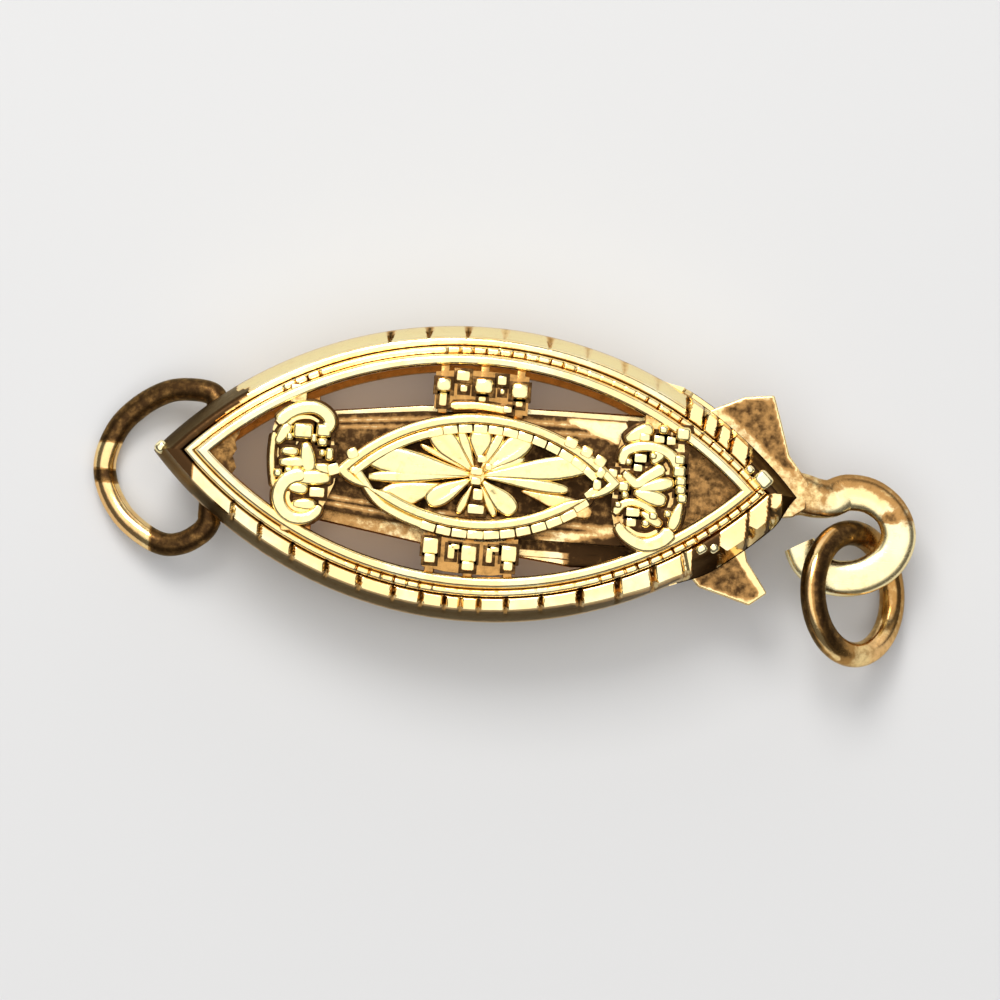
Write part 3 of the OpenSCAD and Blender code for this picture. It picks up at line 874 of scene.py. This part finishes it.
# Wires of the scrolls: points, width, height of the crown, share of the width at both ends
LEFT_WIRES = [
    ([(-4.3, 0.72), (-4.07, 0.94), (-3.8, 1.07), (-3.5, 1.09), (-3.26, 0.96), (-3.18, 0.78), (-3.28, 0.62)],
     0.25, 2.98),
    ([(-4.1, 0.68), (-3.9, 0.84), (-3.62, 0.88), (-3.42, 0.8)], 0.11, 2.92, (1.0, 0.7)),
    (arc_points((-3.7, -0.84), 0.47, 84, 338, 12), 0.27, 2.98, (1.1, 0.75)),
    (arc_points((-3.68, -0.84), 0.29, 160, 318), 0.1, 2.92),
    ([(-4.36, 0.5), (-4.38, 0.1), (-4.35, -0.3), (-4.28, -0.66)], 0.12, 2.9)]
RIGHT_WIRES = [
    ([(3.15, 0.38), (3.19, 0.63), (3.42, 0.76), (3.68, 0.8), (3.99, 0.75), (4.22, 0.6), (4.33, 0.4)], 0.21, 2.97),
    ([(3.06, -0.69), (3.21, -0.49), (3.42, -0.42), (3.67, -0.48), (3.93, -0.62)], 0.18, 2.95, (1.0, 0.8)),
    ([(3.15, -0.92), (3.29, -1.12), (3.59, -1.29), (3.84, -1.31), (4.1, -1.2), (4.3, -0.98)],
     0.32, 2.97, (0.65, 1.0)),
    ([(3.32, -0.96), (3.55, -1.09), (3.8, -1.1), (4.0, -1.0)], 0.1, 2.93),
    ([(3.2, 0.2), (3.36, 0.06), (3.5, -0.02), (3.72, 0.15), (4.04, 0.36)], 0.21, 2.96, (0.8, 1.2))]
# Leaves of the scrolls: start, end, width
LEFT_LEAVES = [
    ((-4.3, 0.26), (-4.03, 0.74), 0.26), ((-4.2, 0.12), (-3.8, 0.13), 0.2),
    ((-4.22, -0.13), (-3.6, -0.08), 0.25), ((-3.68, 0.36), (-3.54, -0.3), 0.34),
    ((-4.0, -0.44), (-3.06, -0.38), 0.32), ((-4.0, -0.64), (-3.54, -0.67), 0.26),
    ((-3.88, -1.0), (-3.34, -0.98), 0.26), ((-3.46, -0.16), (-3.0, -0.22), 0.24)]
RIGHT_LEAVES = [
    ((3.48, -0.15), (4.3, 0.08), 0.3), ((3.42, -0.2), (4.16, -0.36), 0.34),
    ((4.48, -0.33), (4.28, -0.98), 0.28), ((3.78, 0.42), (4.0, 0.76), 0.28), ((3.6, -0.62), (4.1, -0.88), 0.24)]
# Rounded lumps and square beads: place, width, breadth
LEFT_LUMPS = [
    (-3.3, 0.62, 0.34, 0.3), (-3.74, 0.58, 0.44, 0.34), (-3.31, 0.37, 0.24, 0.2), (-4.02, 0.44, 0.16, 0.18),
    (-3.5, 0.44, 0.14, 0.2), (-4.22, -0.36, 0.2, 0.2), (-3.99, -0.28, 0.18, 0.12), (-3.14, 0.12, 0.2, 0.3),
    (-3.3, 0.14, 0.14, 0.16), (-3.5, -1.24, 0.2, 0.1)]
RIGHT_LUMPS = [
    (3.21, -0.1, 0.25), (3.89, -0.69, 0.2), (4.41, 1.12, 0.3), (4.37, 0.56, 0.24), (4.38, 0.31, 0.27),
    (3.25, -0.28, 0.16), (4.2, -0.62, 0.18), (4.43, 0.1, 0.23), (4.44, -0.09, 0.22), (4.48, -0.27, 0.22),
    (3.28, 0.44, 0.16), (3.98, 1.18, 0.2), (3.8, 0.6, 0.16), (3.74, -0.86, 0.18), (3.12, -0.5, 0.16)]
RIGHT_BEADS = [
    (3.53, 0.53, 0.27, 0.19), (3.49, 0.32, 0.2, 0.16), (3.45, -0.64, 0.3, 0.19), (3.43, -0.86, 0.22, 0.18),
    (2.96, 0.17, 0.2, 0.18), (2.97, -0.03, 0.2, 0.18), (3.59, 0.99, 0.22, 0.16), (3.9, 0.97, 0.24, 0.16),
    (4.16, 0.95, 0.2, 0.18)]


class CLASP_OT_scrolls(bpy.types.Operator):
    """Scroll groups at both ends of the filigree"""
    bl_idname = "clasp.scrolls"
    bl_label = "Scrolls"

    def left(self, bm):
        for wire in LEFT_WIRES:
            ribbon(bm, *wire)
        for x, y, wide, deep in LEFT_LUMPS:
            lump(bm, x, y, wide, deep, 2.82, 0.32)
        for start, end, width in LEFT_LEAVES:
            leaf(bm, start, end, width, 2.95, 0.0, 0.8, foot=0.05)
        stud(bm, -3.35, -0.72, 0.33, 0.21, 3.0)
        stud(bm, -3.03, -0.2, 0.26, 0.24, 3.02, 20)

    def right(self, bm):
        leaf(bm, (3.16, 0.9), (3.76, 1.22), 0.34, 2.95, 0.0, 0.7, foot=0.05)
        for wire in RIGHT_WIRES:
            ribbon(bm, *wire)
        for start, end, width in RIGHT_LEAVES:
            leaf(bm, start, end, width, 2.96, 0.0, 0.6, foot=0.05)
        for x, y, wide, deep in RIGHT_BEADS:
            stud(bm, x, y, wide, deep, 2.99)
        for x, y, size in RIGHT_LUMPS:
            lump(bm, x, y, size * 1.08, size, 2.84, 0.3)

    def darkening(self, v):
        """Painted shade: dark tip and feet, a paler sheet, and the flanks of the relief."""
        if v.co.x < -5.0:
            return 0.8
        return 0.3 if v.co.z < 2.76 else 0.95 if v.co.z < 2.83 else flank(v)

    def execute(self, context):
        for side, build in (("left", self.left), ("right", self.right)):
            bm = bmesh.new()
            build(bm)
            plate(bm, WEBS[side], LOW, 2.75)
            if side == "left":
                plate(bm, WEBS["tip"], LOW, 2.72)
            (inner_x, inner_y), outer_x = ((-3.2, -0.2), -3.9) if side == "left" else ((3.2, 0.05), 3.75)
            block(bm, (inner_x, inner_y, 2.76), (0.5, 0.2, 0.2))
            for y in (1, -1):
                block(bm, (outer_x, y * 1.38, 2.76), (0.36, 0.4, 0.2))
            piece("scrolls_" + side, bm, "clasp", "filigree", "front_shell", self.darkening)
        return {"FINISHED"}


# Granules on the upper posts: place, width, breadth; and beads on the lower posts: place, width
GRANULES = [(-0.8, 1.79, 0.33, 0.29), (0.06, 1.82, 0.4, 0.32), (0.84, 1.77, 0.37, 0.33)]
POST_BEADS = [(-0.83, -1.95, 0.24), (0.0, -2.06, 0.27), (0.86, -2.0, 0.21)]
# Square beads between the granules above and between the posts below: place, width, breadth
UPPER_BEADS = [
    (-0.4, 2.02, 0.29, 0.22), (-0.37, 1.75, 0.16, 0.15), (0.44, 1.98, 0.2, 0.2), (0.46, 1.74, 0.1, 0.12),
    (-0.8, 1.49, 0.17, 0.3), (0.04, 1.55, 0.17, 0.12), (0.84, 1.5, 0.17, 0.13)]
LOWER_BEADS = [
    (-0.38, -1.78, 0.16, 0.3), (0.44, -1.8, 0.15, 0.32), (0.55, -1.66, 0.2, 0.12), (-0.3, -1.66, 0.2, 0.12)]


class CLASP_OT_granules(bpy.types.Operator):
    """Granules on their posts above the inner frame, and square beads on posts below it"""
    bl_idname = "clasp.granules"
    bl_label = "Granules"

    def execute(self, context):
        r = context.scene.clasp_sizes.granule / MM
        post, level = (0.2, 1.1, 0.16), 2.705
        bm = bmesh.new()
        for x, y, wide, deep in GRANULES:
            block(bm, (x, 1.74, level), post)
            block(bm, (x, y, TOP - 0.02 - r), (wide, deep, 2 * r), soft=0.085)
            moat(bm, x, y, wide, deep)
        for x, y, wide, deep in UPPER_BEADS:
            stud(bm, x, y, wide, deep, 2.93)
        ribbon(bm, [(-0.62, 1.36), (0.0, 1.4), (0.62, 1.34)], 0.16, 2.92)
        stud(bm, 0.6, 1.36, 0.2, 0.14, 2.96)
        for x, y, wide in POST_BEADS:
            block(bm, (x, -1.78, level), post)
            stud(bm, x, y + 0.27, 0.33, 0.34, 2.94)
            stud(bm, x, y, wide, 0.19, 3.04)
        for x, y, wide, deep in LOWER_BEADS:
            stud(bm, x, y, wide, deep, 2.9)
        for sheet in ("upper", "lower"):
            plate(bm, WEBS[sheet], LOW, 2.78)
        piece("granules", bm, "clasp", "filigree", "front_shell", crevice)
        return {"FINISHED"}


# Hook tongue

# Outline of the tongue, from its fold inside the housing to its shoulders and neck
OUTLINE = [
    (-3.4, -1.24), (-2.93, -1.31), (-1.02, -1.6), (0.9, -1.72), (2.2, -1.86), (3.3, -1.8), (4.2, -1.55),
    (4.5, -1.55), (5.0, -2.08), (6.12, -2.4), (6.49, -2.11), (6.01, -1.45), (5.9, -1.0), (6.4, -0.5),
    (6.93, -0.42), (7.2, -0.22), (7.22, 0.34), (6.97, 0.64), (6.76, 0.9), (6.56, 1.53), (6.34, 2.18),
    (5.71, 2.1), (5.2, 1.86), (4.5, 1.55), (3.2, 1.53), (1.2, 1.5), (-1.24, 1.4), (-3.06, 1.17), (-3.4, 1.12)]
# Half the width of the strip folded back on the tongue, and how much of it there is along the clasp
HALF_STRIP = 1.35
HOOK_WIDTH = [(-3.4, 0.74), (-1.2, 0.92), (1.2, 1.0), (9, 1.0)]
# Middle line of the neck and the curled eye, its width along the way, and the middle of the curl
EYE = [
    (6.88, 0.1, 1.5), (7.12, 0.09, 1.53), (7.42, 0.04, 1.47), (7.72, 0.06, 1.4), (8.1, 0.22, 1.31),
    (8.62, 0.17, 1.25), (9.08, -0.16, 1.22), (9.26, -0.68, 1.22), (9.04, -1.22, 1.22), (8.5, -1.58, 1.22),
    (7.86, -1.63, 1.22), (7.36, -1.36, 1.22), (7.13, -0.98, 1.22)]
EYE_WIDTH = [(0, 1.12), (0.1, 1.02), (0.2, 0.96), (0.35, 0.9), (0.5, 0.84), (0.7, 0.9), (0.85, 0.88), (1, 0.8)]
EYE_MIDDLE = (8.28, -0.72)
# Edge of the shaded wedge at the strip's lower right
SHADE_EDGE = [(1.3, -1.6), (1.55, -1.4), (3.0, -1.07), (3.6, -0.95)]
# Painted shade and highlight of the bar below the strip along the clasp, and of its lines across it
LOWER_BAR = [(-3.4, 0.6), (-1.8, 0.4), (0.8, 0.2), (1.1, -0.2), (2.1, -0.2), (2.2, 1.0), (3.4, 1.0), (3.6, 0.7)]
BAR_LINES = [
    (1.4, 0.85), (1.55, 0.85), (1.58, -0.2), (1.675, -0.2), (1.7, 0.85), (1.725, -0.2), (1.84, -0.2), (9, -0.2)]
# Painted shade across the strip, from its middle out: brown, paler and darker lines, a dark edge
STRIP_LINES = [
    (0, 0.9), (0.9, 0.86), (0.99, 0.4), (1.08, 0.95), (1.17, 0.35), (1.26, 0.85), (1.33, 1.0), (2, 1.0)]


def rim_distance(x, y):
    """Distance to the tongue's outline."""
    best = 9.0
    for (ax, ay), (bx, by) in zip(OUTLINE, OUTLINE[1:] + OUTLINE[:1]):
        along = (bx - ax, by - ay)
        t = min(max(((x - ax) * along[0] + (y - ay) * along[1]) / (along[0] ** 2 + along[1] ** 2), 0.0), 1.0)
        best = min(best, math.hypot(x - ax - along[0] * t, y - ay - along[1] * t))
    return best


def strip_painted_light(v):
    """Painted brown shade in the housing, a painted lit wedge and edges, mottled on the shoulders but not their rims.
    """
    x, y, z = v.co
    if z > 1.8:
        # Distances from the long and the short edge of the painted lit wedge
        long_side, short_side = y - 1.336 + 0.397 * (x - 1.84), x - 3.05 - 0.306 * (y - 0.856)
        lit = smoothstep(-0.05, 0.0, long_side) * smoothstep(0.04, -0.03, short_side) * smoothstep(1.345, 1.3, y)
        below = y - lookup(x, SHADE_EDGE)
        line = math.exp(-(below / 0.09) ** 2) if x > 1.4 else 0.0
        darkness = 0.95 if below < 0 else lookup(abs(y) / lookup(x, HOOK_WIDTH), STRIP_LINES)
        return darkness * (1 - lit) * (1 - line) - 0.6 * lit + 0.1 * line
    if z < 1.7:
        return 0.5
    if x < 4.4:
        edge = HALF_STRIP * lookup(x, HOOK_WIDTH)
        lower = max(lookup(x, LOWER_BAR), lookup(-y, BAR_LINES) if x > 0.9 else 0.0)
        return -0.3 if y > edge else lower if y < -edge else 0.7
    (radius, centre), _ = marquises()
    outside = math.hypot(x, abs(y) + centre) - radius
    if outside < -0.1:
        return 0.7
    if y > 0.62:
        return (0.3 + 0.44 * smoothstep(0.14, 0.2, outside)) * smoothstep(0.02, 0.08, rim_distance(x, y))
    if y < -0.95:
        inwards = 6.49 - 0.727 * (y + 2.11) - x
        return 0.76 * smoothstep(0.17, 0.22, inwards) * smoothstep(0.02, 0.08, rim_distance(x, y))
    return 0.34


def eye_painted_light(v):
    """Mottled neck and outer half of the upper arm, painted dark reflection at its end, painted highlight elsewhere.
    """
    x, y, _ = v.co
    r = math.hypot(x - EYE_MIDDLE[0], y - EYE_MIDDLE[1])
    neck = 0.34 * smoothstep(7.9, 7.5, x) * smoothstep(-0.6, -0.3, y)
    outer = 0.5 * smoothstep(0.93, 1.04, r) * smoothstep(-0.55, -0.25, y) * smoothstep(7.3, 7.6, x)
    patch = 0.85 * math.exp(-((x - 9.08) / 0.2) ** 4 - ((y + 0.27) / 0.13) ** 4)
    darkness = max(neck, outer, patch)
    return darkness if darkness > 0.02 else -0.5


class CLASP_OT_hook_tongue(bpy.types.Operator):
    """Folded strip with its shoulders, neck and curled eye"""
    bl_idname = "clasp.hook_tongue"
    bl_label = "Hook tongue"

    def execute(self, context):
        # Half the strip's thickness, and the place, height and radius of its fold
        thick, fold, level, bend = 0.15, -3.4, 1.85, 0.25
        bm = bmesh.new()
        plate(bm, OUTLINE, level - bend - thick, level - bend + thick)
        bmesh.ops.recalc_face_normals(bm, faces=bm.faces)
        soften(bm, bm.edges[:], 0.035, 3)
        # Cuts across and along the leaf, so that its tarnish has vertices to lie on
        across = [-3.2 + 0.3 * i for i in range(25)] + [4.3 + 0.06 * i for i in range(46)]
        lengthwise = [0.092 * i for i in range(-24, 25)] + [-y for y, _ in BAR_LINES[1:-1]]
        for point, normal in [((x, 0, 0), (1, 0, 0)) for x in across] + [((0, y, 0), (0, 1, 0)) for y in lengthwise]:
            split(bm, point, normal)
        turns = [math.pi * i / 14 for i in range(15)]
        path = [Vector((fold - bend * math.sin(a), 0, level - bend * math.cos(a))) for a in turns]
        path += [Vector((fold + 0.11 * i, 0, level + bend)) for i in range(1, 61)]
        path += [Vector((3.33, 0, 2.16)), Vector((3.36, 0, 2.3)), Vector((3.36, 0, 2.56))]
        section = [(HALF_STRIP, thick), (-HALF_STRIP, thick)]
        section += [(0.09 * i - HALF_STRIP, -thick) for i in range(31)]
        hook = bmesh.new()
        sweep(hook, path, section, [lookup(p.x, HOOK_WIDTH) for p in path], side=Vector((0, 1, 0)))
        bmesh.ops.recalc_face_normals(hook, faces=hook.faces)
        join(bm, hook)
        piece("tongue_leaf", bm, "clasp", "inner", "hook_tongue", strip_painted_light)
        eye = bmesh.new()
        path = spline(EYE, 14)
        n = len(path) - 1
        widths = [lookup(k / n, EYE_WIDTH) for k in range(n + 1)]
        sweep(eye, path, oval(0.88, 0.46, 28, 2.6), widths)
        piece("tongue_eye", eye, "clasp", "inner", "hook_tongue", eye_painted_light)
        return {"FINISHED"}


# Rings

# Half of the end ring's way round from hole to hole, as distance from its axis and place across the clasp
LOOP = [
    (0, 1.18), (0.16, 1.36), (0.6, 1.42), (1.15, 1.35), (1.75, 1.02), (2.25, 0.5), (2.5, -0.2), (2.4, -0.8),
    (2.02, -1.38), (1.5, -1.78), (1.0, -1.98), (0.55, -1.92), (0.16, -1.68), (0, -1.45)]


def put(bm, turn, place):
    """Turns a ring about its middle, moves it to its place and points its faces outwards."""
    bmesh.ops.rotate(bm, cent=(0, 0, 0), matrix=turn, verts=bm.verts)
    bmesh.ops.translate(bm, vec=place, verts=bm.verts)
    bmesh.ops.recalc_face_normals(bm, faces=bm.faces)


class CLASP_OT_end_ring(bpy.types.Operator):
    """Wire bail at the left tip"""
    bl_idname = "clasp.end_ring"
    bl_label = "End ring"

    def execute(self, context):
        r = context.scene.clasp_sizes.end_wire / MM / 2
        # It lies with its far end on the table
        droop = math.asin((PIVOT.z - r) / max(reach for reach, _ in LOOP))
        flat = spline([(-a, b, 0) for a, b in [(0, 1.0)] + LOOP + [(0, -1.3)]], 12)
        path = flat + [Vector((0, y, 0)) for y in (-0.9, -0.45, 0.0, 0.45, 0.8)]
        bm = bmesh.new()
        sweep(bm, path, oval(2 * r, 2 * r, 24), closed=True)
        put(bm, Matrix.Rotation(-droop, 3, "Y"), PIVOT)

        def rule(v):
            """Darkened all over, with painted highlights at the far end and a longer one below it."""
            x, y, _ = v.co
            end = window(y, -0.45, -0.38, 0.12, 0.2)
            lower = smoothstep(-0.68, -0.76, y) * smoothstep(-6.9, -7.02, x)
            return 0.86 - 0.86 * max(end, lower) * smoothstep(-7.0, -7.1, x - 0.1)
        piece("end_ring_wire", bm, "bail", "wire", "end_ring", rule)
        return {"FINISHED"}


# Painted shade round the jump ring, by the angle in its own plane
JUMP_PAINTED_SHADE = [
    (-180, 0.9), (-135, 0.88), (-112, 0.6), (-95, 0.2), (-60, 0.22), (-30, 0.42), (20, 0.5), (60, 0.6),
    (90, 0.85), (180, 0.9)]


class CLASP_OT_jump_ring(bpy.types.Operator):
    """Jump ring on the eye"""
    bl_idname = "clasp.jump_ring"
    bl_label = "Jump ring"

    def execute(self, context):
        s = context.scene.clasp_sizes
        wire = s.jump_wire / MM
        r = (s.jump_ring / MM - wire) / 2
        # It leans on the eye, with its low side on the table
        tilt, turn = math.radians(47), math.radians(6)
        bm = bmesh.new()
        turns = [2 * math.pi * i / 144 for i in range(144)]
        sweep(bm, [Vector((r * math.cos(a), r * math.sin(a), 0)) for a in turns], oval(wire, wire, 28), closed=True)
        lean = Matrix.Rotation(turn, 3, "Z") @ Matrix.Rotation(tilt, 3, "Y")
        middle = Vector((8.36, -1.96, wire / 2 + r * math.sin(tilt)))
        put(bm, lean, middle)

        def rule(v):
            """Painted shade by the angle round the ring, and a painted highlight line along the wire's upper inside.
            """
            flat = lean.transposed() @ (v.co - middle)
            around = math.degrees(math.atan2(flat.y, flat.x))
            section = math.degrees(math.atan2(flat.z, math.hypot(flat.x, flat.y) - r))
            darkness = lookup(around, JUMP_PAINTED_SHADE)
            shine = 1.25 * math.exp(-((section - 24) / 14) ** 2) * (1 if abs(around) > 115 else 0)
            return darkness * (1 - shine)
        piece("jump_ring_wire", bm, "clasp", "wire", "jump_ring", rule)
        return {"FINISHED"}


class CLASP_OT_catch_bar(bpy.types.Operator):
    """Metal of the hidden catch bar, which stays as the CAD has it"""
    bl_idname = "clasp.catch_bar"
    bl_label = "Catch bar"

    def execute(self, context):
        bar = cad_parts["catch_bar"]
        bar.data.materials.clear()
        bar.data.materials.append(material("inner"))
        return {"FINISHED"}


# Stage

class CLASP_OT_stage(bpy.types.Operator):
    """Pale floor, soft studio light and the photograph's camera"""
    bl_idname = "clasp.stage"
    bl_label = "Stage"

    def light(self, context, name, place, size, watts, colour, size_y=None):
        """An area lamp that points at the clasp's origin."""
        data = bpy.data.lights.new(name, "AREA")
        data.energy, data.color, data.size = watts, colour, size
        if size_y:
            data.shape, data.size_y = "RECTANGLE", size_y
        obj = bpy.data.objects.new(name, data)
        obj.location = place
        obj.rotation_euler = (-Vector(place)).to_track_quat("-Z", "Y").to_euler()
        context.scene.collection.objects.link(obj)

    def floor(self, scene):
        bm = bmesh.new()
        bmesh.ops.create_grid(bm, x_segments=1, y_segments=1, size=0.6)
        floor = mesh_object("floor", bm)
        floor.data.materials.append(floor_material("pale_floor", scene.clasp_colours.floor))

    def studio(self, scene):
        """A bright roof, a window on the far side and a dim surround."""
        world = scene.world or bpy.data.worlds.new("studio")
        scene.world = world
        world.use_nodes = True
        world.node_tree.nodes.clear()
        kit = Kit(world.node_tree)
        way = kit.add("ShaderNodeSeparateXYZ", {}, {0: kit.add("ShaderNodeTexCoord")})
        up, north = kit.outs(way, 2), kit.outs(way, 1)
        roof = kit.steps(up, 0.62, 0.84)
        pane = kit.steps(north, 0.3, 0.62) * kit.steps(up, 0.6, 0.3)
        strength = roof * 1.36 + pane * 0.95 + 0.14
        back = kit.add("ShaderNodeBackground", {}, {"Color": (1.0, 0.99, 0.985, 1), "Strength": strength})
        kit.add("ShaderNodeOutputWorld", {}, {"Surface": back})

    def camera(self, scene):
        """Almost straight above, a little turned and leaning; field is the frame's width just above the aim."""
        aim, angle, lean = Vector((0.58, -0.52, 1.6)) * MM, math.radians(4.3), math.radians(3.0)
        distance, above_aim, field, sensor = 0.16, 0.0008, 0.02155, 36.0
        ahead = Vector((-math.sin(angle), math.cos(angle), 0))
        away = UP * math.cos(lean) - ahead * math.sin(lean)
        right = ahead.cross(away).normalized()
        top = away.cross(right)
        data = bpy.data.cameras.new("camera")
        data.sensor_width = sensor
        data.lens = sensor * (distance - above_aim) / field
        data.clip_start, data.clip_end = 0.002, 5.0
        camera = bpy.data.objects.new("camera", data)
        scene.collection.objects.link(camera)
        turned = Matrix((right, top, away)).transposed().to_4x4()
        camera.matrix_world = Matrix.Translation(aim + away * distance) @ turned
        scene.camera = camera

    def execute(self, context):
        self.floor(context.scene)
        self.studio(context.scene)
        self.light(context, "key", (-0.035, 0.095, 0.125), 0.07, 0.13, (1.0, 0.98, 0.95))
        # Light that the polished walls throw on the floor inside the housing
        self.light(context, "bounce", (0, 0, 0.0013), 0.0105, 0.00006, (1.0, 0.62, 0.3), 0.0038)
        self.camera(context.scene)
        context.scene.view_settings.view_transform = "Standard"
        return {"FINISHED"}


class CLASP_PT_panel(bpy.types.Panel):
    """Lists the operators, the sizes and the colours"""
    bl_idname = "CLASP_PT_panel"
    bl_label = "Filigree clasp"
    bl_space_type = "VIEW_3D"
    bl_region_type = "UI"
    bl_category = "Clasp"

    def draw(self, context):
        for cls in OPERATORS:
            self.layout.operator(cls.bl_idname)
        for group in (context.scene.clasp_sizes, context.scene.clasp_colours):
            for name in group.__annotations__:
                self.layout.prop(group, name)


OPERATORS = [
    CLASP_OT_front_border, CLASP_OT_back_shell, CLASP_OT_inner_frame, CLASP_OT_rosette, CLASP_OT_scrolls,
    CLASP_OT_granules, CLASP_OT_hook_tongue, CLASP_OT_end_ring, CLASP_OT_jump_ring, CLASP_OT_catch_bar,
    CLASP_OT_stage]
CLASSES = [ClaspSizes, ClaspColours] + OPERATORS + [CLASP_PT_panel]


def register():
    for cls in CLASSES:
        bpy.utils.register_class(cls)
    bpy.types.Scene.clasp_sizes = bpy.props.PointerProperty(type=ClaspSizes)
    bpy.types.Scene.clasp_colours = bpy.props.PointerProperty(type=ClaspColours)


def unregister():
    del bpy.types.Scene.clasp_colours
    del bpy.types.Scene.clasp_sizes
    for cls in reversed(CLASSES):
        bpy.utils.unregister_class(cls)


def main():
    register()
    for cls in OPERATORS:
        group, name = cls.bl_idname.split(".")
        getattr(getattr(bpy.ops, group), name)()


if __name__ == "__main__":
    main()
